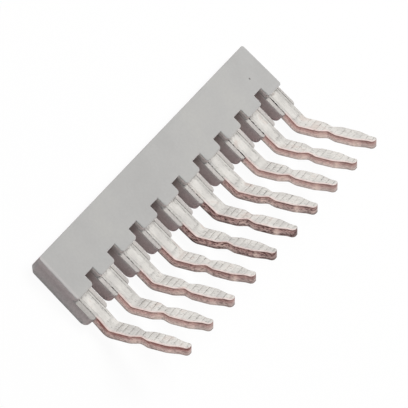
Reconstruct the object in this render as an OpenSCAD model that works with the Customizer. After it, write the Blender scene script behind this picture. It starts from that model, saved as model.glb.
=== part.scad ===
// Insertion jumper for a row of rail-mounted terminals, in millimetres.
// A comb stamped from tinned copper strip sits in a slotted insulating housing.
// +X runs along the row of poles, the tines point to -Y and are bent up towards +Z.
// The origin is the middle of the strip's underside, where the part rests.

/* [Row of poles] */
// Number of poles in the row
poles = 10; // [2:1:16]
// Distance from one pole to the next
pitch = 6.2; // [5.4:0.1:8]

/* [Housing] */
// Depth of the strip from its rear face to the roots of the notches
strip_depth = 5.9; // [5:0.1:8]
// Width of the housing at one pole, across its tray
pole_w = 4.2; // [3.6:0.1:5]
// Width of the ledge on each side of a tab, which is narrower than its tray
ledge = 0.05; // [0.02:0.01:0.15]
// Thickness of the floor under the comb
floor_t = 0.75; // [0.65:0.05:1.4]
// Thickness of the cover over the comb
cover_t = 0.7; // [0.5:0.05:1.4]
// Thickness of the wall behind the comb
rear_wall = 0.9; // [0.7:0.05:1.6]
// Length of the tab that covers each tine, from the notch root
tab_len = 1.6; // [0.8:0.1:3]
// Length of the tray that carries each tine, from the notch root
tray_len = 4.9; // [3.6:0.1:7]
// Height of the top face of a tine above the rims of its tray
tine_proud = 0.06; // [0:0.01:0.3]
// Radius of the rounded bottom edge at the rear
heel_r = 0.9; // [0.2:0.05:1.2]
// Radius of the rounded bottom edge at the front of the trays
toe_r = 0.6; // [0.2:0.05:0.7]
// Radius of the rounded top and end edges
edge_r = 0.35; // [0.1:0.05:0.5]
// Draft angle of the two end faces, which makes the rear a little shorter than the front
end_draft = 1.5; // [0.5:0.1:3]
// Radius of the upright corners of the strip and the tabs
corner_r = 0.5; // [0.2:0.05:0.7]
// Radius of the upright corners at the front of the trays
tray_r = 0.3; // [0.1:0.05:0.4]
// Radius of the rounded top edges along the sides of the tabs
tab_edge_r = 0.25; // [0.05:0.05:0.3]
// Clearance between the comb and the housing
fit_gap = 0.08; // [0.02:0.01:0.1]

/* [Comb] */
// Thickness of the copper strip
strip_t = 1.15; // [0.6:0.05:1.4]
// Width of a tine where it leaves the housing
tine_w = 2.6; // [2:0.1:3]
// Distance of the spine's front edge behind the notch roots
spine_inset = 0.4; // [0.2:0.05:0.8]
// Distance from the front of the tray to the corner of the bend
tine_reach = 2.4; // [1.6:0.1:4]
// Angle by which the blades are bent upwards
bend_angle = 40; // [15:1:60]
// Inner radius of the bend
bend_r = 0.8; // [0.3:0.1:1.4]
// Length of a blade from the corner of the bend to its tip
blade_len = 11.2; // [10.2:0.1:15]

/* [Blade outline] */
// Depth of the waist, cut in from each side of the tine
waist_in = 0.6; // [0.2:0.02:0.66]
// Length of each flank of the waist
waist_run = 1.3; // [0.9:0.1:1.5]
// Depth by which the lobe in front of the waist is cut in from each side
lobe_in = 0.1; // [0.02:0.02:0.2]
// Length of that lobe
lobe_len = 2.7; // [1.6:0.1:3]
// Length of the taper from the lobe to the nose
taper_len = 1.7; // [1:0.1:2]
// Depth by which the nose is cut in from each side
nose_in = 0.6; // [0.3:0.02:0.66]
// Length of the nose
nose_len = 1.1; // [0.9:0.1:2]
// Radius that softens the corners of the outline
outline_r = 0.8; // [0.2:0.1:1]
// Radius of the corners of the tip
tip_r = 0.45; // [0.1:0.05:0.5]

/* [Grip marks] */
// Distance between the serrations across a blade
groove_pitch = 0.91; // [0.6:0.01:1.4]
// Depth of a serration
groove_depth = 0.12; // [0.04:0.01:0.2]
// Distance of the first serration from the corner of the bend
groove_start = 0.75; // [0.6:0.05:1.5]
// Width of the pressed panel on the straight part of a tine
panel_w = 1.7; // [1:0.02:1.8]
// Depth of the pressed panel
panel_depth = 0.1; // [0.04:0.01:0.25]
// Radius of the panel's front corners
panel_r = 0.3; // [0.1:0.05:0.45]
// Distance of the panel's front edge behind the corner of the bend
panel_back = 0.9; // [0.7:0.05:1.4]
// Length of the panel that lies under the tab
panel_lap = 0.6; // [0.2:0.05:0.7]

/* [Hidden] */
$fn = 64;
// Segments in one rounded corner of a blade
arc_steps = 5;
// Length by which cutters run past the faces they cut
over = 1;

// Heights above the underside
tine_top = floor_t + strip_t;
housing_h = tine_top + cover_t;
rim_top = tine_top - tine_proud;

// Places along Y, from the rear face to the corner of the bend
rear_y = strip_depth / 2;
root_y = -strip_depth / 2;
tab_y = root_y - tab_len;
tray_y = root_y - tray_len;
bend_y = tray_y - tine_reach;
spine_rear_y = rear_y - rear_wall;
spine_front_y = root_y + spine_inset;

// Places and lengths along X
row_len = (poles - 1) * pitch;
tab_w = pole_w - 2 * ledge;
housing_len = row_len + tab_w;
spine_len = row_len + tine_w;
notch_w = pitch - pole_w;
tine_gap = pitch - tine_w;

// Places along a blade, from the corner of the bend to the tip
nose_s = blade_len - nose_len;
taper_s = nose_s - taper_len;
lobe_s = taper_s - lobe_len;
waist_s = lobe_s - waist_run;
shoulder_s = waist_s - waist_run;
groove_count = floor((blade_len - groove_start - groove_pitch / 3) / groove_pitch) + 1;

// Directions in Y and Z: along a blade, and out of its top face
blade_dir = [-cos(bend_angle), sin(bend_angle)];
blade_up = [sin(bend_angle), cos(bend_angle)];
// Corner of the bend, centre of its radii, and the tip, all in Y and Z on the top face
bend_corner = [bend_y, tine_top];
bend_centre = bend_corner + bend_r * [tan(bend_angle / 2), 1];
tip = bend_corner + blade_len * blade_dir;

function pole_x(i) = i * pitch - row_len / 2;

function unit(v) = v / norm(v);

// Points of the arc of radius r that rounds corner b of the path a, b, c
function round_corner(a, b, c, r) =
    let (u = unit(a - b), v = unit(c - b))
    let (half = acos(u * v) / 2)
    let (room = min(norm(a - b), norm(c - b)) / 2 * tan(half))
    let (fit_r = min(r, room))
    let (centre = b + unit(u + v) * fit_r / sin(half))
    let (first = b + u * fit_r / tan(half) - centre)
    let (start = atan2(first.y, first.x))
    let (turn = (180 - 2 * half) * (cross(u, v) > 0 ? -1 : 1))
    [for (k = [0:arc_steps]) let (t = start + turn * k / arc_steps) centre + fit_r * [cos(t), sin(t)]];

// Corners of a blade's right side as [cut from the side, distance from the bend, radius]
blade_corners = [
    [0, shoulder_s, outline_r],
    [waist_in, waist_s, outline_r],
    [lobe_in, lobe_s, outline_r],
    [lobe_in, taper_s, outline_r],
    [nose_in, nose_s, outline_r],
    [nose_in, blade_len, tip_r],
];

// Rounded right side of a blade that lies along -Y with the bend's corner at the origin
function blade_edge() =
    let (path = [[tine_w / 2, 0], for (c = blade_corners) [tine_w / 2 - c.x, -c.y], [0, -blade_len]])
    [for (i = [0:len(blade_corners) - 1])
        each round_corner(path[i], path[i + 1], path[i + 2], blade_corners[i].z)];

// What lies outside a quarter circle of radius r in the corner at the origin, and past its sides
module corner_waste(r, past = over) {
    difference() {
        translate([-past, -past]) square(r + past);
        translate([r, r]) circle(r);
    }
}

// Rectangle with its own radius at each corner, counter-clockwise from the lower left
module rounded_rect(w, h, radii) {
    corners = [[0, 0], [w, 0], [w, h], [0, h]];
    difference() {
        square([w, h]);
        for (k = [0:3])
            if (radii[k] > 0)
                translate(corners[k]) rotate(90 * k) corner_waste(radii[k]);
    }
}

// Lays a drawing in Y and Z along the row, centred on the origin
module along_row(length) {
    translate([-length / 2, 0, 0]) rotate([90, 0, 90]) linear_extrude(length) children();
}

// Side view of the housing: the strip with its tab, and the longer tray under it
module housing_side() {
    translate([tab_y, 0])
        rounded_rect(rear_y - tab_y, housing_h, [0, heel_r, edge_r, edge_r / 2]);
    translate([tray_y, 0])
        rounded_rect(rear_y - tray_y, rim_top, [toe_r, heel_r, 0, edge_r / 2]);
}

// What lies outside the circle of radius r that rounds corner b of the path a, b, c
module path_waste(a, b, c, r) {
    u = unit(a - b);
    v = unit(c - b);
    half = acos(u * v) / 2;
    centre = b + unit(u + v) * r / sin(half);
    run = r / tan(half);
    difference() {
        polygon([b + u * run, 2 * b - centre, b + v * run, centre]);
        translate(centre) circle(r);
    }
}

// What is cut off one end: all beyond its face with draft, its top edge and its rear corner
module end_trim() {
    depth = rear_y - tray_y;
    front = [housing_len / 2, tray_y];
    rear = [housing_len / 2 - depth * tan(end_draft), rear_y];
    length = depth / cos(end_draft) + over;
    translate(front) rotate([90, 0, end_draft]) translate([0, 0, -length]) linear_extrude(length + over)
        difference() {
            translate([-edge_r, -over]) square([edge_r + 2 * over, housing_h + 2 * over]);
            translate([-2 * edge_r, 0])
                rounded_rect(2 * edge_r, housing_h, [0, 0, edge_r, 0]);
        }
    translate([0, 0, -over]) linear_extrude(housing_h + 2 * over)
        path_waste(front, rear, [0, rear_y], corner_r);
}

// Housing without its notches and slot, with both ends trimmed
module housing_blank() {
    difference() {
        along_row(housing_len) housing_side();
        for (side = [0, 1])
            mirror([side, 0, 0]) end_trim();
    }
}

// Gap between two poles, wider above the trays, with the top edges of the tabs rounded
module notch() {
    length = root_y - tray_y + over;
    upper_w = notch_w + 2 * ledge;
    top_r = min(tab_edge_r, (housing_h - rim_top) / 2);
    translate([-notch_w / 2, tray_y - over, -over])
        cube([notch_w, length, housing_h + 2 * over]);
    translate([-upper_w / 2, tray_y - over, rim_top])
        cube([upper_w, length, housing_h]);
    for (side = [0, 1])
        mirror([side, 0, 0])
            translate([upper_w / 2, root_y, housing_h]) rotate([90, 0, 0]) linear_extrude(length)
                mirror([0, 1]) corner_waste(top_r, notch_w / 3);
}

// Cutters that round the front corner of a tab and of the tray under it, on the left side of a pole
module front_corners(tray_w) {
    translate([-tab_w / 2, tab_y, rim_top]) linear_extrude(housing_h)
        corner_waste(corner_r, notch_w / 3);
    translate([-tray_w / 2, tray_y, -over]) linear_extrude(housing_h)
        corner_waste(tray_r, notch_w / 3);
}

// Space for the comb: the slot of the spine and a channel for each tine, open in front of the tab
module comb_space() {
    slot_rear_y = spine_rear_y + fit_gap;
    slot_len = spine_len + 2 * fit_gap;
    slot_h = strip_t + fit_gap;
    channel_w = tine_w + 2 * fit_gap;
    translate([-slot_len / 2, root_y, floor_t])
        cube([slot_len, slot_rear_y - root_y, slot_h]);
    for (i = [0:poles - 1])
        translate([pole_x(i) - channel_w / 2, tray_y - over, floor_t]) {
            cube([channel_w, slot_rear_y - tray_y + over, slot_h]);
            cube([channel_w, tab_y - tray_y + over, housing_h]);
        }
}

module insulating_housing() {
    color("#bcbcba")
    difference() {
        housing_blank();
        for (i = [0:poles - 2])
            translate([pole_x(i) + pitch / 2, 0, 0]) notch();
        for (i = [0:poles - 1])
            translate([pole_x(i), 0, 0]) {
                front_corners(i == 0 ? tab_w : pole_w);
                mirror([1, 0, 0]) front_corners(i == poles - 1 ? tab_w : pole_w);
            }
        comb_space();
    }
}

// Side view of the strip, from the rear of the spine to the tip, with a sharp bend
module sharp_strip() {
    under_bend = bend_corner - strip_t * [tan(bend_angle / 2), 1];
    polygon([
        [spine_rear_y, tine_top], bend_corner, tip,
        tip - strip_t * blade_up, under_bend, [spine_rear_y, floor_t],
    ]);
}

// Part of a ring about the bend's centre, over the bend's angle, outside radius r
module bend_sector(r, outer) {
    middle = [-sin(bend_angle / 2), -cos(bend_angle / 2)];
    translate(bend_centre)
        difference() {
            polygon([[0, 0], [0, -outer], middle * outer / cos(bend_angle / 2), -blade_up * outer]);
            circle(r);
        }
}

// Strip as long as the spine, with the bend's inner radius filled in and its outer radius cut
module bent_strip() {
    outer_r = bend_r + strip_t;
    difference() {
        union() {
            along_row(spine_len) sharp_strip();
            along_row(spine_len) bend_sector(bend_r, bend_r + strip_t / 2);
        }
        along_row(spine_len + 2 * over) bend_sector(outer_r, outer_r + over);
    }
}

// Puts children on the blades: -Y along a blade, +Z out of its top face
module on_blade() {
    translate([0, bend_corner.x, bend_corner.y]) rotate([-bend_angle, 0, 0]) children();
}

// Gap between two tines, in front of the spine, in plan
module tine_gap_plan() {
    root_r = min(spine_inset, tine_gap / 2);
    front_y = tip.x - strip_t - over;
    translate([-tine_gap / 2, front_y])
        rounded_rect(tine_gap, spine_front_y - front_y, [0, 0, root_r, root_r]);
}

// What is trimmed off both sides of one blade to give its outline
module blade_trim() {
    edge = blade_edge();
    outside = tine_w / 2 + over;
    last = edge[len(edge) - 1];
    waste = concat(edge, [
        [last.x, last.y - over], [outside, last.y - over], [outside, edge[0].y],
    ]);
    for (side = [0, 1])
        mirror([side, 0, 0])
            translate([0, 0, -strip_t - over]) linear_extrude(strip_t + 2 * over) polygon(waste);
}

// One serration: a square bar on edge that runs across all the blades
module groove(s) {
    bar = groove_depth * sqrt(2);
    translate([0, -s, 0]) rotate([45, 0, 0]) cube([spine_len + 2 * over, bar, bar], center = true);
}

// Pressed panel in the top of a straight tine, in plan
module panel_plan() {
    front_y = bend_y + panel_back;
    length = tab_y + panel_lap - front_y;
    translate([-panel_w / 2, front_y])
        rounded_rect(panel_w, length, [panel_r, panel_r, 0, 0]);
}

module contact_comb() {
    tall = tip.y + 2 * over;
    color("#d9d6d0")
    difference() {
        bent_strip();
        for (i = [0:poles - 2])
            translate([pole_x(i) + pitch / 2, 0, 0]) linear_extrude(tall) tine_gap_plan();
        for (i = [0:poles - 1]) {
            translate([pole_x(i), 0, 0]) on_blade() blade_trim();
            translate([pole_x(i), 0, tine_top - panel_depth]) linear_extrude(panel_depth + over)
                panel_plan();
        }
        for (k = [0:groove_count - 1])
            on_blade() groove(groove_start + k * groove_pitch);
    }
}

insulating_housing();
contact_comb();
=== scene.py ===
import math

import bmesh
import bpy
import numpy as np
from mathutils import Euler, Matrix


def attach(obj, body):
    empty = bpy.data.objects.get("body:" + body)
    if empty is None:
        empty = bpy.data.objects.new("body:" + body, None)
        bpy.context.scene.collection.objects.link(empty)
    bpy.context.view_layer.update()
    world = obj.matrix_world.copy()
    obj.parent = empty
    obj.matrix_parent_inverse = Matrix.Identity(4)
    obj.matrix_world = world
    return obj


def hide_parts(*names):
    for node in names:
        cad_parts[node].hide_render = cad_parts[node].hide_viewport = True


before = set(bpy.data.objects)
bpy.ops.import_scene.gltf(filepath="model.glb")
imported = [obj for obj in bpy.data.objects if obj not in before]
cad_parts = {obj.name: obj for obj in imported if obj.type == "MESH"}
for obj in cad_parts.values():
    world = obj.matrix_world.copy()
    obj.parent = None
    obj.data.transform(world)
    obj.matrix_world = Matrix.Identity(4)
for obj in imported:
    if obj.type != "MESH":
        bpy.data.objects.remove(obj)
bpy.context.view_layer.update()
mm = 0.001
weldGap = 0.0005 * mm
sliverSweeps = 10
sharpDegrees = 38.0
print("frame loaded, nodes:", sorted(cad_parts))


# Small helpers for numpy shapes

def softStep(x):
    # 0 below 0, 1 above 1, and 3t^2 - 2t^3 between them
    t = np.clip(x, 0.0, 1.0)
    return t * t * (3.0 - 2.0 * t)


def bell(s, middle, width):
    # a bell of height 1 at the middle, exp(-(distance / width)^2)
    return np.exp(-((s - middle) / width) ** 2)


def edgeDrop(distance, radius):
    # height lost at that distance from an edge rounded with that radius
    short = np.clip(radius - distance, 0.0, radius)
    return radius - np.sqrt(np.maximum(radius * radius - short * short, 0.0))


def tubeFaces(rings, points, offset=0, turn=1):
    # quads between neighbouring rings of one closed tube, then one face for each end
    r, p = np.meshgrid(np.arange(rings - 1), np.arange(points), indexing="ij")
    q = (p + 1) % points
    quads = np.stack([r * points + p, r * points + q, (r + 1) * points + q, (r + 1) * points + p], -1)
    first = np.arange(points)[::-turn] + offset
    last = np.arange(points)[::turn] + (rings - 1) * points + offset
    first, last = (first, last) if turn > 0 else (last, first)
    return (quads.reshape(-1, 4)[:, ::turn] + offset).tolist() + [first.tolist(), last.tolist()]


def newPiece(name, points, faces, material, merge=False):
    # points are millimetres in the CAD frame
    mesh = bpy.data.meshes.new(name)
    mesh.from_pydata((points * mm).tolist(), [], faces)
    if merge:  # equal points are welded, then flat slivers go where the section changes
        work = bmesh.new()
        work.from_mesh(mesh)
        bmesh.ops.remove_doubles(work, verts=work.verts, dist=weldGap)
        for sweep in range(sliverSweeps):
            bmesh.ops.dissolve_degenerate(work, dist=weldGap, edges=work.edges)
        work.to_mesh(mesh)
        work.free()
    mesh.polygons.foreach_set("use_smooth", np.ones(len(mesh.polygons), bool))
    mesh.set_sharp_from_angle(angle=math.radians(sharpDegrees))
    mesh.materials.append(material)
    mesh.update()
    piece = bpy.data.objects.new(name, mesh)
    bpy.context.scene.collection.objects.link(piece)
    return piece


def addAttribute(piece, name, values):
    layer = piece.data.attributes.new(name, "FLOAT", "POINT")
    layer.data.foreach_set("value", np.ascontiguousarray(values, np.float32))


# Node helpers

def emptyTree(owner):
    owner.use_nodes = True
    owner.node_tree.nodes.clear()
    return owner.node_tree


def newMaterial(name):
    material = bpy.data.materials.new(name)
    tree = emptyTree(material)
    shader = tree.nodes.new("ShaderNodeBsdfPrincipled")
    output = tree.nodes.new("ShaderNodeOutputMaterial")
    tree.links.new(shader.outputs[0], output.inputs[0])
    return material, tree, shader


def setInput(tree, socket, value):
    # a socket is linked, anything else is set as the value
    if isinstance(value, bpy.types.NodeSocket):
        tree.links.new(value, socket)
    else:
        socket.default_value = value


def addNode(tree, kind, inputs=None, **settings):
    node = tree.nodes.new(kind)
    for key, value in settings.items():
        setattr(node, key, value)
    for key, value in (inputs or {}).items():
        setInput(tree, node.inputs[key], value)
    return node


def objectCoords(tree):
    return addNode(tree, "ShaderNodeTexCoord").outputs["Object"]


def noise(tree, coords, scale, detail=2.0, roughness=0.5):
    node = addNode(tree, "ShaderNodeTexNoise",
                   {"Vector": coords, "Scale": scale, "Detail": detail, "Roughness": roughness})
    return node.outputs["Fac"]


def mapped(tree, value, low, high, outLow, outHigh, kind="LINEAR"):
    names = ["Value", "From Min", "From Max", "To Min", "To Max"]
    node = addNode(tree, "ShaderNodeMapRange", dict(zip(names, [value, low, high, outLow, outHigh])),
                   interpolation_type=kind)
    return node.outputs["Result"]


def maths(tree, operation, a, b=0.0):
    return addNode(tree, "ShaderNodeMath", {0: a, 1: b}, operation=operation).outputs[0]


def product(tree, first, *others):
    # masks multiplied together
    for other in others:
        first = maths(tree, "MULTIPLY", first, other)
    return first


def mixed(tree, fac, a, b, blend="MIX"):
    node = addNode(tree, "ShaderNodeMix", data_type="RGBA", blend_type=blend)
    for place, value in ((0, fac), (6, a), (7, b)):  # the node's factor and its two colours
        setInput(tree, node.inputs[place], value)
    return node.outputs[2]


def timesColour(tree, colour, factor):
    return mixed(tree, 1.0, colour, factor, "MULTIPLY")


def tinted(tree, mask, colour, tint):
    # the colour times the tint where the mask is 1
    return mixed(tree, mask, colour, timesColour(tree, colour, tint))


def covered(tree, mask, colour, code):
    # another colour where the mask is 1
    return mixed(tree, mask, colour, srgb(code))


def ramp(tree, fac, stops):
    node = addNode(tree, "ShaderNodeValToRGB", {"Fac": fac})
    elements = node.color_ramp.elements
    while len(elements) < len(stops):
        elements.new(0.5)
    for element, (place, code) in zip(elements, stops):
        element.position = place
        element.color = srgb(code)
    return node.outputs["Color"]


def srgb(code):
    # hexadecimal colour to linear values
    parts = np.array([int(code[i:i + 2], 16) for i in (1, 3, 5)]) / 255.0
    linear = np.where(parts <= 0.04045, parts / 12.92, ((parts + 0.055) / 1.055) ** 2.4)
    return (*linear.tolist(), 1.0)


# Grey polyamide of the housing, with places in millimetres

polyamide = {
    "shades": [(0.0, "#b8b8b7"), (0.5, "#bcbcbb"), (1.0, "#bfbfbd")],  # dull, plain, pale
    "cloudScale": 160.0, "fineScale": 2600.0, "sandScale": 4200.0, "grainScale": 7000.0,
    "grainDepth": 0.000006, "roughness": (0.50, 0.62), "specular": 0.2,
    "speck": "#55504e", "speckPlace": (25.5, -0.9, 2.6), "speckSize": 0.17,
    "endFade": (28.8, 29.2),  # from the middle: the tints of the notches fade out here
    "bands": [  # painted light and shade: tint, lowest, highest, softness, Y where it begins and is full, also on the ends
        ((1.07, 1.035, 1.015, 1.0), 1.80, 1.88, 0.01, -4.4, -4.7, True),  # painted light: the trays' rims lighter and warmer
        ((1.22, 1.17, 1.16, 1.0), 1.88, 2.48, 0.06, -2.0, -2.4, False),  # painted light: the tabs' sides lighter
        ((1.0, 0.95, 0.95, 1.0), -1.0, 1.78, 0.02, -2.9, -3.1, False),  # painted shade: the trays' sides pinker
        ((1.36, 1.33, 1.32, 1.0), 2.30, 2.53, 0.04, -2.9, -3.1, False),  # painted highlight along the upper edge of the tabs' sides
        ((1.15, 1.17, 1.17, 1.0), 1.62, 1.79, 0.05, -2.9, -3.1, False),  # painted highlight along the upper edge of the trays' sides
    ],
    "topFade": (2.40, 2.50), "rearFade": (2.2, 2.6), "rear": (0.95, 1.03, 1.03, 1.0),
    # painted shade in the roots of the notches: colour, Y limits, heights where it fades
    "rootShade": "#4e4846", "rootShadeFront": (-4.2, -3.0), "rootShadeRear": (-2.9, -2.8), "rootShadeUp": (1.8, 2.3),
    "nearEnd": (-29.2, -29.0), "nearEndTop": 2.35,
    "lowerTone": (0.5, 1.6, 1.18, 0.84), "upperTone": (1.8, 2.1, 0.0, 0.12),  # heights, tones there: painted light and shade of the near end
    "nearTopEdge": -30.13, "endDraft": 1.5,  # the near end's top edge: X at Y 0, and its slant in degrees
    # painted highlight along the near end's top edge: tint, fade from the edge, heights
    "endEdgeHighlight": (1.12, 1.095, 1.10, 1.0), "endEdgeHighlightFade": (0.52, 0.70), "endEdgeHighlightHeight": (2.38, 2.50),
}


def makePolyamide():
    look = polyamide
    material, tree, shader = newMaterial("greyPolyamide")
    coords = objectCoords(tree)
    cloud = noise(tree, coords, look["cloudScale"], 3.0)
    fine = noise(tree, coords, look["fineScale"], 3.0, 0.6)
    sand = noise(tree, coords, look["sandScale"], 2.0)
    grain = noise(tree, coords, look["grainScale"], 2.0, 0.55)
    place = addNode(tree, "ShaderNodeVectorMath", {0: coords, "Scale": 1.0 / mm},
                    operation="SCALE").outputs[0]
    x, y, z = addNode(tree, "ShaderNodeSeparateXYZ", {0: place}).outputs[:3]

    def rising(value, limits):
        return mapped(tree, value, *limits, 0.0, 1.0)

    def falling(value, limits):
        return mapped(tree, value, *limits, 1.0, 0.0)

    def atHeight(low, high, soft):
        # 1 between two heights
        return product(tree, rising(z, (low - soft, low + soft)), falling(z, (high - soft, high + soft)))

    colour = ramp(tree, rising(cloud, (0.3, 0.7)), look["shades"])
    colour = timesColour(tree, colour, mapped(tree, fine, 0.25, 0.75, 0.965, 1.03))
    apart = addNode(tree, "ShaderNodeVectorMath", {0: place, 1: look["speckPlace"]},
                    operation="DISTANCE").outputs["Value"]
    ragged = product(tree, mapped(tree, fine, 0.2, 0.8, 0.6, 1.4), apart)
    size = look["speckSize"]
    speck = mapped(tree, ragged, size * 0.5, size * 1.3, 0.8, 0.0, "SMOOTHSTEP")
    colour = covered(tree, speck, colour, look["speck"])
    inner = falling(maths(tree, "ABSOLUTE", x), look["endFade"])
    # painted light and shade in bands of height on the housing
    for tint, low, high, soft, begin, full, onEnds in look["bands"]:
        mask = product(tree, atHeight(low, high, soft), rising(y, (begin, full)))
        mask = mask if onEnds else product(tree, mask, inner)
        colour = tinted(tree, mask, colour, tint)
    belowTop = falling(z, look["topFade"])
    colour = tinted(tree, belowTop, colour, mapped(tree, sand, 0.3, 0.7, 0.90, 1.10))
    # painted light: the rear face cooler, against the pink light from the floor
    colour = tinted(tree, product(tree, belowTop, rising(y, look["rearFade"])), colour, look["rear"])
    root = product(tree, inner, rising(y, look["rootShadeFront"]), falling(y, look["rootShadeRear"]))
    root = product(tree, root, mapped(tree, z, *look["rootShadeUp"], 0.45, 0.0))
    colour = covered(tree, root, colour, look["rootShade"])  # painted shade, darker in the roots of the notches
    tone = maths(tree, "ADD", mapped(tree, z, *look["lowerTone"]), mapped(tree, z, *look["upperTone"]))
    onEnd = product(tree, falling(x, look["nearEnd"]), atHeight(-1.0, look["nearEndTop"], 0.06))
    colour = tinted(tree, onEnd, colour, tone)  # painted light and shade on the near end, lighter low down and darkest under the line of the tabs
    # painted highlight along the near end's top edge
    slant = maths(tree, "MULTIPLY", y, math.tan(math.radians(look["endDraft"])))
    fromEnd = maths(tree, "SUBTRACT", maths(tree, "SUBTRACT", x, look["nearTopEdge"]), slant)
    edgeAmount = mapped(tree, fromEnd, *look["endEdgeHighlightFade"], 1.0, 0.0, "SMOOTHSTEP")
    edgeAmount = product(tree, edgeAmount, rising(z, look["endEdgeHighlightHeight"]))
    colour = tinted(tree, edgeAmount, colour, look["endEdgeHighlight"])
    tree.links.new(colour, shader.inputs["Base Color"])
    tree.links.new(mapped(tree, fine, 0.3, 0.7, *look["roughness"]), shader.inputs["Roughness"])
    shader.inputs["Specular IOR Level"].default_value = look["specular"]
    bump = addNode(tree, "ShaderNodeBump", {"Height": grain, "Strength": 0.5, "Distance": look["grainDepth"]})
    tree.links.new(bump.outputs["Normal"], shader.inputs["Normal"])
    return material


# Tin plate on the rolled faces of the comb, bare copper on its sheared edges

tinPlate = {
    "shades": [(0.0, "#d9d6d2"), (0.4, "#e1ded9"), (0.7, "#ebe8e3"), (1.0, "#e2d8d1")],  # cool to warm
    "cloudScale": 420.0, "fineScale": 3200.0, "burnScale": 500.0, "shadeBreakScale": 1300.0,
    "rolledScale": (5200.0, 500.0), "scoredScale": (7000.0, 1900.0),  # across and along the tines
    "tearScale": (2.2, 6.5, 300.0),  # along the strip, down the side, from tine to tine
    "scratch": "#8e8a85",
    "nearEdgeTint": (1.14, 0.985, 0.99, 1.0),  # times the tin's colour along the near sheared edge: a painted highlight, pinker where the tin thins and copper shows
    "edgeStops": [  # down the sheared side; the pale first stop is a painted highlight along its top edge
        (0.00, "#f2d6cc"), (0.03, "#c9a79f"), (0.06, "#7d5c57"), (0.10, "#a07b75"), (0.16, "#c9a8a1"),
        (0.36, "#d8b9b3"), (0.60, "#e0cac3"), (0.82, "#dfd0ca"), (0.93, "#bcaca7"), (1.00, "#6d5f5b"),
    ],
    "edgeRed": "#83524e", "edgeDark": "#4d3331", "edgePale": "#e3c3bb", "edgeStain": "#d8d2d3",
    "sheenTan": "#e2d0c3", "paintedShade": "#2c2422",
    "roughness": (0.34, 0.52), "edgeRoughness": 0.08, "bumpDepth": 0.000008,
}


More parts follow.
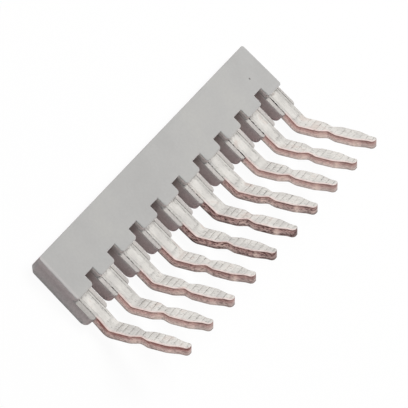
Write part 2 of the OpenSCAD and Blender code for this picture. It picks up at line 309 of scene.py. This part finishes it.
def makeTinPlate():
    look = tinPlate
    material, tree, shader = newMaterial("tinnedCopper")
    coords = objectCoords(tree)

    def painted(name):
        return addNode(tree, "ShaderNodeAttribute", attribute_name=name).outputs["Fac"]

    def stretched(scales):
        # noise drawn out along the tines
        across, along = scales
        drawn = addNode(tree, "ShaderNodeMapping", {"Vector": coords, "Scale": (across, along, along)})
        return noise(tree, drawn.outputs[0], 1.0, 2.0, 0.55)

    edge, depth, groove, pressed = (painted(n) for n in ("cutEdge", "cutDepth", "grooveShade", "pressedFace"))
    burnt, torn = painted("sideBurn"), painted("sideTorn")
    x = addNode(tree, "ShaderNodeSeparateXYZ", {0: coords}).outputs["X"]
    cloud = noise(tree, coords, look["cloudScale"], 3.0)
    fine = noise(tree, coords, look["fineScale"], 3.0, 0.6)
    rolled = stretched(look["rolledScale"])
    scored = stretched(look["scoredScale"])

    # the tinned face: clouds, rolling lines, paler where pressed, scratches, and a painted highlight along
    # the near sheared edge where the tin thins
    face = ramp(tree, mapped(tree, cloud, 0.3, 0.7, 0.0, 1.0), look["shades"])
    face = timesColour(tree, face, mapped(tree, rolled, 0.25, 0.75, 0.94, 1.04))
    face = timesColour(tree, face, mapped(tree, pressed, 0.0, 1.0, 0.88, 1.0))
    scratch = product(tree, mapped(tree, scored, 0.55, 0.70, 0.0, 0.5, "SMOOTHSTEP"),
                      mapped(tree, pressed, 0.95, 1.0, 1.0, 0.35))
    face = covered(tree, scratch, face, look["scratch"])
    face = tinted(tree, painted("nearEdgeHighlight"), face, look["nearEdgeTint"])

    # the sheared side: colour by depth, grain drawn out along it, stains, burnt and torn stretches, and a
    # painted sheen where it turns in
    wander = maths(tree, "ADD", depth, mapped(tree, cloud, 0.3, 0.7, -0.03, 0.03))
    copper = ramp(tree, wander, look["edgeStops"])
    ways = zip((painted("alongStrip"), depth, x), look["tearScale"])
    scaled = [product(tree, way, scale) for way, scale in ways]
    strip = addNode(tree, "ShaderNodeCombineXYZ", dict(enumerate(scaled)))
    tear = noise(tree, strip.outputs[0], 1.0, 3.0, 0.65)
    copper = timesColour(tree, copper, mapped(tree, tear, 0.3, 0.7, 1.22, 0.78))
    copper = timesColour(tree, copper, ramp(tree, torn, [(0.0, "#ffffff"), (1.0, look["edgeStain"])]))
    copper = timesColour(tree, copper, painted("sideTone"))
    # painted sheen: tan where the side turns in at the waist and shoulder
    sheenMask = product(tree, painted("sideSheen"), mapped(tree, wander, 0.08, 0.2, 0.0, 1.0))
    copper = covered(tree, sheenMask, copper, look["sheenTan"])
    low = product(tree, torn, mapped(tree, wander, 0.58, 0.82, 0.0, 0.5, "SMOOTHSTEP"))
    copper = covered(tree, low, copper, look["edgeDark"])  # broken lower part of a torn side
    patches = noise(tree, coords, look["burnScale"], 2.0)
    burn = product(tree, burnt, mapped(tree, wander, 0.12, 0.55, 1.0, 0.2, "SMOOTHSTEP"),
                   mapped(tree, wander, 0.05, 0.09, 0.0, 1.0), mapped(tree, patches, 0.35, 0.65, 0.3, 1.15))
    copper = covered(tree, burn, copper, look["edgeRed"])
    spots = product(tree, mapped(tree, tear, 0.51, 0.60, 0.0, 1.0), mapped(tree, torn, 0.0, 1.0, 0.12, 0.95),
                    mapped(tree, wander, 0.05, 0.1, 0.0, 1.0))
    copper = covered(tree, spots, copper, look["edgeDark"])
    glitter = product(tree, torn, mapped(tree, tear, 0.45, 0.35, 0.0, 0.55, "SMOOTHSTEP"))
    copper = covered(tree, glitter, copper, look["edgePale"])

    # painted shade: broken dark lines in the serrations, round the panel, in front of the tabs and beside the
    # trays' rims
    gaps = noise(tree, coords, look["shadeBreakScale"], 1.0)
    shade = product(tree, groove, product(tree, mapped(tree, fine, 0.42, 0.56, 0.2, 1.0),
                                          mapped(tree, gaps, 0.42, 0.58, 0.35, 1.25)))
    colour = covered(tree, shade, mixed(tree, edge, face, copper), look["paintedShade"])
    tree.links.new(colour, shader.inputs["Base Color"])
    rough = mapped(tree, fine, 0.3, 0.7, *look["roughness"])
    rough = maths(tree, "ADD", rough, product(tree, edge, look["edgeRoughness"]))
    tree.links.new(rough, shader.inputs["Roughness"])
    shader.inputs["Metallic"].default_value = 1.0
    height = maths(tree, "ADD", fine, product(tree, rolled, 0.6))
    bump = addNode(tree, "ShaderNodeBump",
                   {"Height": height, "Strength": 0.35, "Distance": look["bumpDepth"]})
    tree.links.new(bump.outputs["Normal"], shader.inputs["Normal"])
    return material


greyPolyamide = makePolyamide()
tinnedCopper = makeTinPlate()
print("materials made")


# Contact comb: one tine profile carried along the bent strip, ten times, and the spine behind them

comb = {
    "poles": 10, "pitch": 6.2, "halfWidth": 1.3, "thickness": 1.15, "underside": 0.75,
    "spineRear": 2.05, "spineFront": -2.55, "root": -2.1,
    "bendY": -10.25, "bendAngle": 40.0, "bendRadius": 0.8, "bladeLength": 11.2,
    "outline": [(3.0, 0.0), (4.3, 0.6), (5.6, 0.1), (8.35, 0.1), (10.1, 0.6)],  # from the bend, cut in
    "outlineSoft": 0.2, "tipRadius": 0.45, "dieRoll": 0.1, "noseShare": 0.8,
    "panelHalf": 0.87, "panelFront": -0.9, "panelCorner": 0.32, "panelDepth": 0.09, "panelFlank": 0.28,
    "grooveStart": 0.75, "groovePitch": 0.91, "grooves": 12, "grooveDepth": 0.06, "grooveHalf": 0.055,
    "grooveSkew": 0.02, "grooveDeep": (0.65, 1.1), "grooveMark": (0.3, 1.0),  # limits of random draws
    "shoulderShare": 0.15, "shoulderWidth": 0.24,  # soft shoulders beside the serrations
    "faceSeed": 40, "sideSeed": 90,
    "trayFront": -2.4, "trayBlend": 0.12, "trayEase": 0.03,
    "tabFront": -5.7, "tabLine": 0.16, "tabShade": 0.55,  # painted shadow: a dark line in front of the tab
    "lift": 0.09, "liftFall": 0.22, "liftMiddle": 5.3,  # the blades stand a little higher near the middle
    "liftRun": 2.4,
    "sideLean": 0.035, "sideWobble": 0.008, "wobbleKnots": 70, "bottomShare": 0.985,
    "tipStep": 0.003,  # the last ring is a hair in front, so that the end face has its own colour
    "nearEdgeWidth": 0.45, "paintedShade": 0.7, "farPaintedShade": 2.4, "farFrom": 7,  # the painted shade beside the trays' rims is darker at the far tines
    "waist": 3.7, "swell": 5.0, "shoulder": 8.75,  # places along the strip where the side turns
    "sides": [(0.9, 0.25), (0.15, 0.05), (0.3, 0.3), (0.35, 0.45), (0.1, 1.0), (0.05, 1.0), (0.0, 0.55),
              (0.2, 0.05), (0.3, 0.0), (0.3, 0.0)],  # each tine's sheared side: how burnt, how torn
}


def tinePath(s):
    # s runs along the strip's top face, 0 at the corner of the bend: straight, then an arc, then straight
    angle = math.radians(comb["bendAngle"])
    radius = comb["bendRadius"]
    reach = radius * math.tan(angle / 2)
    turn = np.clip((s + reach) / (2 * reach), 0.0, 1.0) * angle
    before = np.minimum(s + reach, 0.0)
    after = np.maximum(s - reach, 0.0)
    top = comb["underside"] + comb["thickness"]
    y = comb["bendY"] + reach - before - radius * np.sin(turn) - after * math.cos(angle)
    z = top + radius * (1.0 - np.cos(turn)) + after * math.sin(angle)
    return y, z, np.sin(turn), np.cos(turn)


def inTray(s):
    # 1 where the tine lies in its tray, 0 in front of it
    return softStep((comb["trayFront"] - s) / comb["trayBlend"] + 0.5)


def tineHalfWidth(s):
    # straight runs between the outline's corners, averaged over a short window, with round tip corners
    places = [c[0] for c in comb["outline"]]
    widths = [comb["halfWidth"] - c[1] for c in comb["outline"]]
    window = np.linspace(-1.0, 1.0, 9) * comb["outlineSoft"]
    half = np.interp(s[:, None] + window, places, widths).mean(1)
    r = comb["tipRadius"]
    ahead = np.clip(s - (comb["bladeLength"] - r), 0.0, r)
    ease = comb["trayEase"] * inTray(s)
    return half - r + np.sqrt(r * r - ahead * ahead) - ease


def grooveMarks():
    # evenly spaced serrations
    return comb["grooveStart"] + comb["groovePitch"] * np.arange(comb["grooves"])


def tineStations():
    # close together at the panel's front, the bend, the serrations and the tip
    marks = grooveMarks()
    around = np.array([-0.2, -0.11, -0.06, 0.0, 0.06, 0.11, 0.2])
    tip = comb["bladeLength"] - comb["tipRadius"] * (1.0 - np.sin(np.linspace(0.0, math.pi / 2, 10)))
    parts = [np.linspace(comb["bendY"] - comb["root"], -1.6, 12), np.linspace(-1.6, -0.5, 17),
             np.linspace(-0.35, 0.35, 11), (marks[:, None] + around).ravel(), marks[:-1] + 0.34,
             marks[:-1] + 0.57, tip]
    s = np.unique(np.round(np.concatenate(parts), 4))
    return s[s <= comb["bladeLength"]]


def tineTop(s, x, half, index):
    # depth below the strip's face: a panel with sloped flanks, serrations with soft shoulders, a rolled tip
    random = np.random.default_rng(comb["faceSeed"] + index)
    count = comb["grooves"]
    corner = comb["panelCorner"]
    dx = np.abs(x) - comb["panelHalf"] + corner
    ds = s[:, None] - comb["panelFront"] + corner
    outside = np.hypot(np.maximum(dx, 0.0), np.maximum(ds, 0.0)) - corner
    outside = outside + np.minimum(np.maximum(dx, ds), 0.0)
    inPanel = softStep(-outside / comb["panelFlank"])
    skew = random.uniform(-comb["grooveSkew"], comb["grooveSkew"], count)
    deep = random.uniform(*comb["grooveDeep"], count)
    away = s[:, None, None] - grooveMarks() - skew * x[..., None]
    bite = np.exp(-np.abs(away / comb["grooveHalf"]) ** 1.6)
    bite = bite + comb["shoulderShare"] * bell(away, 0.0, comb["shoulderWidth"])
    across = softStep((x / half[:, None] + 0.95) / 0.7)  # the serrations run out towards the near side
    groove = comb["grooveDepth"] * (bite * deep).sum(-1) * across
    roll = comb["dieRoll"]
    ahead = np.clip(s - (comb["bladeLength"] - roll), 0.0, roll)
    nose = roll - np.sqrt(np.maximum(roll * roll - ahead * ahead, 0.0))
    drop = comb["panelDepth"] * inPanel + groove + comb["noseShare"] * nose[:, None]
    mark = random.uniform(*comb["grooveMark"], count)  # how strongly each serration is marked
    mark[0] *= 0.5
    # painted shade in the serrations
    shade = 0.75 * (bell(away, 0.0, comb["grooveHalf"] * 0.9) * mark).max(-1) * across
    farSide = 0.18 + 0.3 * math.exp(-index / 1.2)
    flank = bell(outside, -0.04, 0.06) * (0.2 + farSide * (x > 0))  # painted shade: a grey line round the panel, darker on the far side
    # painted shadow in front of the tab
    under = softStep((comb["tabFront"] + comb["tabLine"] - s) / 0.12)[:, None]
    shade = np.maximum(np.maximum(shade, flank), comb["tabShade"] * under)
    pressed = np.maximum(inPanel, 0.95 * softStep((s[:, None] - comb["panelFront"]) / 0.5))
    return drop, shade, pressed


def sideTones(s, index):
    # how the sheared side changes along the strip: burnt, torn, a painted sheen where it turns in at the
    # waist and tip, and darker
    burn, torn = comb["sides"][index]
    torn = torn * (1.0 - 0.75 * bell(s, comb["swell"], 0.6) - 0.6 * bell(s, comb["shoulder"], 0.4))
    atShoulder = 0.5 if index > 2 else 0.1
    sheenMask = 0.35 * bell(s, comb["waist"], 0.5) + atShoulder * bell(s, comb["shoulder"], 0.3)
    tone = 1.0 - 0.05 * softStep((s - 5.4) / 0.6) - 0.2 * softStep((s - 9.0) / 0.4) * (index > 0)
    return {"sideBurn": burn * np.ones(s.shape), "sideTorn": torn, "sideSheen": sheenMask, "sideTone": tone,
            "alongStrip": s + 40.0 * index}


def makeTine(index):
    # section: top face, rolled edge, sheared side, underside, and back up the other side
    s = tineStations()
    half = tineHalfWidth(s)
    y, z, sinTurn, cosTurn = tinePath(s)
    lift = comb["lift"] - comb["liftFall"] * ((index - comb["liftMiddle"]) / comb["liftMiddle"]) ** 2
    z = z + lift * softStep((s - comb["trayFront"]) / comb["liftRun"])
    roll = comb["dieRoll"]
    thick = comb["thickness"]
    across = np.array([0.0, 0.15, 0.3, 0.45, 0.58, 0.62, 0.65, 0.68, 0.71, 0.74, 0.77, 0.82, 0.9, 1.0])
    across = np.concatenate([-across[:0:-1], across])
    arc = np.radians([30.0, 60.0, 90.0])
    sideDrop = np.array([0.2, 0.34, 0.48, 0.62, 0.78, 0.94])
    sideLean = -comb["sideLean"] * softStep((sideDrop - 0.5) / 0.5)
    bottom = np.array([0.97, 0.4, 0.0, -0.4, -0.97])
    nTop, nSide, nBottom = len(across), len(sideDrop), len(bottom)
    ones = np.ones((len(s), 1))
    topX = across * (half - roll)[:, None]
    topD, shade, pressed = tineTop(s, topX, half, index)
    rollX = (half - roll)[:, None] + roll * np.sin(arc)
    rollD = roll * (1.0 - np.cos(arc)) * ones
    random = np.random.default_rng(comb["sideSeed"] + index)
    knots = np.linspace(s[0], s[-1], comb["wobbleKnots"])
    wobble = np.interp(s, knots, random.normal(0.0, comb["sideWobble"], comb["wobbleKnots"]))[:, None]
    sideX = half[:, None] + sideLean * ones + wobble * np.sin(sideDrop * 3.1)
    sideD = sideDrop * thick * ones
    bottomX = bottom * half[:, None] * comb["bottomShare"]
    bottomD = thick * np.ones((len(s), nBottom))
    fadeRoll = 1.0 - np.sin(arc) * 0.7
    rightD, leftD = rollD + topD[:, -1:] * fadeRoll, rollD + topD[:, :1] * fadeRoll
    x = np.concatenate([topX, rollX, sideX, bottomX, -sideX[:, ::-1], -rollX[:, ::-1]], 1)
    d = np.concatenate([topD, rightD, sideD, bottomD, sideD[:, ::-1], leftD[:, ::-1]], 1)
    x, d = np.vstack([x, x[-1:]]), np.vstack([d, d[-1:]])
    sinTurn, cosTurn = np.append(sinTurn, sinTurn[-1]), np.append(cosTurn, cosTurn[-1])
    step = comb["tipStep"]
    y, z = np.append(y, y[-1] - step * cosTurn[-1]), np.append(z, z[-1] + step * sinTurn[-1])
    px = x + (index - (comb["poles"] - 1) / 2) * comb["pitch"]
    py = y[:, None] - d * sinTurn[:, None]
    pz = z[:, None] - d * cosTurn[:, None]

    # paint for the material, one value per point: bare copper, its depth, painted shade lines, pressed tin
    # and a painted highlight where the tin thins
    count = x.shape[1]
    inside = inTray(s)[:, None]
    edgeRow = np.concatenate([np.zeros(nTop), [0.6, 1.0, 1.0], np.ones(nSide), np.zeros(nBottom),
                              np.ones(nSide), [1.0, 1.0, 0.6]])
    depthRow = np.concatenate([np.zeros(nTop), [0.01, 0.05, 0.1], sideDrop, np.ones(nBottom),
                               sideDrop[::-1], [0.1, 0.05, 0.01]])
    # painted shade in the gaps beside the trays' rims, on the sheared sides within the trays
    gapShadeRow = np.concatenate([np.zeros(nTop), [0.0, 0.3, 0.8], np.ones(nSide), np.zeros(nBottom),
                              1.3 * np.ones(nSide), [1.3, 1.1, 0.4]])
    gapShadeRow = gapShadeRow * (comb["farPaintedShade"] if index >= comb["farFrom"] else comb["paintedShade"])
    shades = np.vstack([gapShadeRow * inside, np.zeros(count)])
    shades[:-1, :nTop] = shade
    pressedTin, nearEdgeHighlight = np.zeros(shades.shape), np.zeros(shades.shape)
    pressedTin[:-1, :nTop] = pressed
    fromEdge = half[:, None] - np.abs(topX) - roll
    nearHighlight = (1.0 - softStep(fromEdge / comb["nearEdgeWidth"])) * (1.0 - inside)
    nearEdgeHighlight[:-1, :nTop] = nearHighlight * (topX < 0)  # painted highlight, only along the near side
    layers = {"cutEdge": np.vstack([edgeRow * (1.0 - inside), np.ones(count)]),
              "cutDepth": np.vstack([depthRow * ones, np.clip(d[-1] / thick, 0.0, 1.0)]),
              "grooveShade": shades, "pressedFace": pressedTin, "nearEdgeHighlight": nearEdgeHighlight}
    layers.update(sideTones(np.append(s, s[-1])[:, None] * np.ones(count), index))
    return np.stack([px, py, pz], -1), layers


def makeSpine():
    # a flat bar: the same four-cornered section at both ends of the row
    half = (comb["poles"] - 1) / 2 * comb["pitch"] + comb["halfWidth"]
    low = comb["underside"]
    high = low + comb["thickness"]
    ring = np.array([[comb["spineFront"], high], [comb["spineFront"], low], [comb["spineRear"], low],
                     [comb["spineRear"], high]])
    x = np.repeat([-half, half], 4)
    return np.column_stack([x, np.tile(ring, (2, 1))])


def makeComb():
    # the tines' tubes and the spine's bar in one mesh, with the paint of each point
    points, faces, layers = [], [], {}
    total = 0
    for index in range(comb["poles"]):
        tine, paint = makeTine(index)
        rings, count = tine.shape[:2]
        faces += tubeFaces(rings, count, total, -1)
        total += rings * count
        points.append(tine.reshape(-1, 3))
        for name, values in paint.items():
            layers.setdefault(name, []).append(values.ravel())
    spine = makeSpine()
    faces += tubeFaces(2, 4, total)
    points.append(spine)
    piece = newPiece("tinnedComb", np.concatenate(points), faces, tinnedCopper)
    for name, values in layers.items():
        onSpine = np.full(len(spine), 1.0 if name in ("cutEdge", "sideTone") else 0.0)
        addAttribute(piece, name, np.concatenate(values + [onSpine]))
    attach(piece, "root")
    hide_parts("contact_comb")
    return piece


tinnedComb = makeComb()
print("comb made, faces:", len(tinnedComb.data.polygons))


# Housing: a side view carried along the row, changing between notch, rim and channel

housing = {
    "poles": 10, "pitch": 6.2, "trayHalf": 2.1, "tabHalf": 2.05, "channelHalf": 1.345,
    "rear": 2.95, "root": -2.95, "tab": -4.55, "tray": -7.85, "slotRear": 2.13,
    "height": 2.6, "ceiling": 1.98, "floor": 0.75, "rim": 1.84,
    "heel": 0.55, "toe": 0.6, "topEdge": 0.1, "rearOut": 0.07, "rearIn": 0.12,
    "tabEdge": 0.17, "rimEdge": 0.05, "channelEdge": 0.03, "lowEdge": 0.03, "trayEdge": 0.1,
    "tabCorner": 0.5, "trayCorner": 0.55, "endEdge": 0.18, "endCorner": 0.55, "draft": 1.5,
    "endShift": 0.22, "nearLean": 0.17,  # both ends sit towards the near end, which leans out at the top
    "leanStart": 1.45, "underStep": 0.2, "flatWeight": 90,
    "noEdge": 9.0,  # a distance at which no edge is felt
}


def housingStations():
    # places along the row: both faces of every notch, the ledges and rims of every pole, and its channel
    h = housing
    rimWidth = h["tabHalf"] - h["channelHalf"]
    ledge = np.array([0.0, 0.007, 0.02, 0.05]) - h["trayHalf"]
    fromSide = np.array([0.0, 0.008, 0.03, 0.07, 0.12, 0.18, 0.24, 0.3, 0.35, 0.42, 0.5])
    rims = np.concatenate([fromSide, rimWidth - np.array([0.06, 0.03, 0.01, 0.0])]) - h["tabHalf"]
    u = np.concatenate([[-h["trayHalf"]], ledge, rims, [-h["channelHalf"]]])
    kind = np.repeat([0, 1, 2, 3], [1, len(ledge), len(rims), 1])  # notch, ledge, rim, channel
    u, kind = np.concatenate([u, -u[::-1]]), np.concatenate([kind, kind[::-1]])
    index = np.repeat(np.arange(h["poles"]), len(u))
    u, kind = np.tile(u, h["poles"]), np.tile(kind, h["poles"])
    outer = ((index == 0) & (u < 0)) | ((index == h["poles"] - 1) & (u > 0))
    keep = ~(outer & (kind < 2))
    x = (index - (h["poles"] - 1) / 2) * h["pitch"] + u
    return x[keep], u[keep], kind[keep], outer[keep]


def housingSection(u, kind, outer):
    # the ring of one station runs up the rear, over the top, down the front and back underneath
    h = housing
    notch = kind == 0
    bare = kind < 2  # no tab here
    rim = (kind == 1) | (kind == 2)
    side = np.where(kind == 2, h["tabHalf"] - np.abs(u), h["noEdge"])
    edge = np.where(outer, h["noEdge"], side)
    traySide = np.where(rim, np.where(outer, h["tabHalf"], h["trayHalf"]) - np.abs(u), h["noEdge"])
    inner = np.where(rim, np.abs(u) - h["channelHalf"], h["noEdge"])
    front = np.where(bare, h["root"], h["tab"] + edgeDrop(side, h["tabCorner"]))
    tray = np.where(notch, h["root"], h["tray"] + edgeDrop(traySide, h["trayCorner"]))
    ys, zs = [], []

    def add(y, z):
        ys.append(np.broadcast_to(y, u.shape))
        zs.append(np.broadcast_to(z, u.shape))

    quarter = np.radians(np.linspace(0.0, 90.0, 8))
    for back, up in ((1.1, 0.0), (1.0, 0.02), (0.9, 0.09), (0.09, 0.9), (0.02, 1.0), (0.0, 1.1)):
        add(h["rear"] - back * h["heel"], up * h["heel"])  # cut-off rear bottom edge
    for t in quarter:  # rear top edge
        add(h["rear"] - h["topEdge"] * (1.0 - np.cos(t)), h["height"] - h["topEdge"] * (1.0 - np.sin(t)))
    soft = h["tabEdge"] * np.array([1.0, 0.75, 0.5, 0.28, 0.12, 0.03, 0.0])
    for g in soft:  # top face near the roots of the notches
        gap = np.where(bare, g, np.hypot(edge, g))
        add(h["root"] + g, h["height"] - edgeDrop(gap, h["tabEdge"]))
    add(np.where(bare, h["root"], (h["root"] + front + h["tabEdge"]) / 2),
        h["height"] - np.where(bare, h["tabEdge"], edgeDrop(edge, h["tabEdge"])))
    for g in soft:  # front edge of the tab, round its corners
        line = front + g - h["tab"]
        r = h["tabCorner"]
        bend = r - np.hypot(r - side, r - line)
        gap = np.where((side < r) & (line < r), bend, np.minimum(side, line))
        gap = np.maximum(np.where(outer, g, gap), 0.0)
        add(np.where(bare, h["root"], front + g),
            h["height"] - np.where(bare, h["tabEdge"], edgeDrop(gap, h["tabEdge"])))
    slot = [(front, "ceiling"), (h["root"], "ceiling"), (h["slotRear"], "ceiling"), (h["slotRear"], "floor"),
            (h["root"], "floor")]
    for place, level in slot:  # into the slot and out again, or one point on the rims
        add(np.where(rim, front, place), np.where(rim, h["rim"], h[level]))
    edgeAmount = edgeDrop(traySide, h["rimEdge"]) + edgeDrop(inner, h["channelEdge"])
    low = np.where(rim, h["rim"] - edgeAmount, h["floor"])
    for back, down in ((1.0, 0.0), (0.5, 0.12), (0.15, 0.5), (0.0, 1.0)):  # front edge of the tray
        add(np.where(notch, tray, tray + back * h["trayEdge"]), low - down * h["trayEdge"])
    for t in quarter:  # bottom edge, round under the trays and small in the notches
        r = np.where(notch, h["lowEdge"], h["toe"])
        lift = edgeDrop(traySide, h["lowEdge"])
        add(tray + r * (1.0 - np.cos(t)), np.maximum(r * (1.0 - np.sin(t)), lift))
    add(h["root"] + h["underStep"], 0.0)
    y, z = np.stack(ys, 1), np.stack(zs, 1)
    draft = h["rearOut"] - h["rearIn"] * (1.0 - z / h["height"])
    y = y + draft * (y > h["slotRear"] + 0.01)  # the rear face leans out a little at the top
    return y, z


def makeHousing():
    # the sections joined along the row, then both ends drawn in at their edges, drafted and shifted
    h = housing
    x, u, kind, outer = housingStations()
    y, z = housingSection(u, kind, outer)
    end = np.where(outer, h["tabHalf"] - np.abs(u), h["noEdge"])[:, None]
    upper = np.clip((z - h["rim"]) / (h["height"] - h["rim"]), 0.0, 1.0)
    z = z - edgeDrop(end, h["endEdge"]) * upper
    y = y - edgeDrop(end, h["endCorner"]) * np.clip((y - h["root"]) / (h["rear"] - h["root"]), 0.0, 1.0) ** 4
    start = np.where(y > 0.0, 0.0, h["leanStart"])  # behind the tabs the shift is spread over half a pole
    lean = np.clip((np.abs(u)[:, None] - start) / (h["tabHalf"] - start), 0.0, 1.0)
    lean = lean * (outer * np.sign(u))[:, None]
    px = x[:, None] - lean * (y - h["tray"]) * math.tan(math.radians(h["draft"]))
    px = px - np.abs(lean) * h["endShift"] - np.maximum(-lean, 0.0) * h["nearLean"] * z / h["height"]
    points = np.stack([px, y, z], -1)
    faces = tubeFaces(*points.shape[:2])
    piece = newPiece("notchedHousing", points.reshape(-1, 3), faces, greyPolyamide, merge=True)
    weighted = piece.modifiers.new("flatFaces", "WEIGHTED_NORMAL")  # large faces keep their own normals
    weighted.keep_sharp = True
    weighted.weight = h["flatWeight"]
    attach(piece, "root")
    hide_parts("insulating_housing")
    return piece


notchedHousing = makeHousing()
print("housing made, faces:", len(notchedHousing.data.polygons))


# White sweep, soft studio light and the camera, in metres

studio = {
    "cameraPlace": (-0.57644435, 0.02709308, 0.51378143),
    "cameraTurn": (0.64724798, -0.59113115, -0.99621685),
    "lens": 508.173,
    "dimSide": (-0.62, 0.0, 0.78),  # the metal mirrors a darker room on the camera's side
    "dimSpread": (0.45, 0.95), "dimLevel": 0.85,
    "floorHalf": 3.0, "floorDrop": 0.00003,
    "floorTone": (0.97, 0.97, 0.97, 1.0), "floorBounce": (0.86, 0.66, 0.68, 1.0),  # as seen, as it lights
    "floorGlow": (0.95, 0.30),  # share of plain white that the camera and the metal see
    "white": (1.0, 1.0, 1.0, 1.0),
    "lamps": [  # name, place, size, power, colour, seen in reflections
        ("overhead", (0.48, 0.00, 0.76), 0.70, 9.75, (1.0, 0.985, 0.975), False),
        ("low", (-0.70, -0.05, 0.10), 0.45, 1.1, (0.9, 1.0, 0.99), False),
        ("front", (-0.42, -0.56, 0.06), 0.45, 0.30, (1.0, 0.9, 1.0), False),
        ("glint", (-0.55, 0.05, 0.58), 0.12, 0.30, (1.0, 1.0, 1.0), True),
    ],
}


def raysThatSee(tree):
    # 1 for rays from the camera, mirrored or let through, and the mask of the mirrored ones alone
    path = addNode(tree, "ShaderNodeLightPath")
    mirrored = path.outputs["Is Glossy Ray"]
    seen = maths(tree, "MAXIMUM", path.outputs["Is Camera Ray"], mirrored)
    return maths(tree, "MAXIMUM", seen, path.outputs["Is Transmission Ray"]), mirrored


def makeFloor():
    # a level sheet just under the housing
    material = bpy.data.materials.new("whiteSweep")
    tree = emptyTree(material)
    output = addNode(tree, "ShaderNodeOutputMaterial")
    seen, mirrored = raysThatSee(tree)
    tone = mixed(tree, seen, studio["floorBounce"], studio["floorTone"])
    card = addNode(tree, "ShaderNodeBsdfDiffuse", {"Color": tone})
    glow = addNode(tree, "ShaderNodeEmission", {"Color": studio["white"], "Strength": 1.0})
    cameraShare, metalShare = studio["floorGlow"]
    share = mapped(tree, mirrored, 0.0, 1.0, product(tree, seen, cameraShare), metalShare)
    both = addNode(tree, "ShaderNodeMixShader", {0: share, 1: card.outputs[0], 2: glow.outputs[0]})
    tree.links.new(both.outputs[0], output.inputs[0])
    mesh = bpy.data.meshes.new("floor")
    x, y = np.meshgrid([-1.0, 1.0], [-1.0, 1.0])
    level = np.full(4, -studio["floorDrop"])
    corners = np.column_stack([x.ravel() * studio["floorHalf"], y.ravel() * studio["floorHalf"], level])
    mesh.from_pydata(corners.tolist(), [], [[0, 1, 3, 2]])
    mesh.materials.append(material)
    floor = bpy.data.objects.new("floor", mesh)
    bpy.context.scene.collection.objects.link(floor)


def makeLamps():
    # round area lamps, each turned from looking down to face the origin
    for name, place, size, power, colour, mirrored in studio["lamps"]:
        light = bpy.data.lights.new(name, "AREA")
        light.shape = "DISK"
        light.size = size
        light.energy = power
        light.color = colour
        lamp = bpy.data.objects.new(name, light)
        lamp.location = place
        lamp.visible_glossy = mirrored
        aim = -np.array(place)
        flat = math.hypot(aim[0], aim[1])
        heading = math.atan2(aim[1], aim[0]) - math.pi / 2
        lamp.rotation_euler = Euler((math.atan2(flat, -aim[2]), 0.0, heading))
        bpy.context.scene.collection.objects.link(lamp)


def makeWorld():
    # plain white where it is seen, a little dimmer in the metal, and no light on the object
    world = bpy.data.worlds.new("studio")
    tree = emptyTree(world)
    output = addNode(tree, "ShaderNodeOutputWorld")
    seen, mirrored = raysThatSee(tree)
    direction = addNode(tree, "ShaderNodeTexCoord").outputs["Generated"]
    facing = addNode(tree, "ShaderNodeVectorMath", {0: direction, 1: studio["dimSide"]},
                     operation="DOT_PRODUCT").outputs["Value"]
    dim = mapped(tree, facing, *studio["dimSpread"], 1.0, studio["dimLevel"], "SMOOTHSTEP")
    strength = product(tree, seen, mapped(tree, mirrored, 0.0, 1.0, 1.0, dim))
    sky = addNode(tree, "ShaderNodeBackground", {"Color": studio["white"], "Strength": strength})
    tree.links.new(sky.outputs[0], output.inputs[0])
    bpy.context.scene.world = world


def makeCamera():
    lens = bpy.data.cameras.new("camera")
    lens.sensor_fit = "HORIZONTAL"
    lens.sensor_width = 36.0
    lens.lens = studio["lens"]
    lens.clip_start = 0.01
    lens.clip_end = 20.0
    camera = bpy.data.objects.new("camera", lens)
    camera.location = studio["cameraPlace"]
    camera.rotation_euler = Euler(studio["cameraTurn"], "XYZ")
    bpy.context.scene.collection.objects.link(camera)
    bpy.context.scene.camera = camera


makeFloor()
makeLamps()
makeWorld()
makeCamera()
bpy.context.scene.view_settings.view_transform = "Standard"
print("stage set")
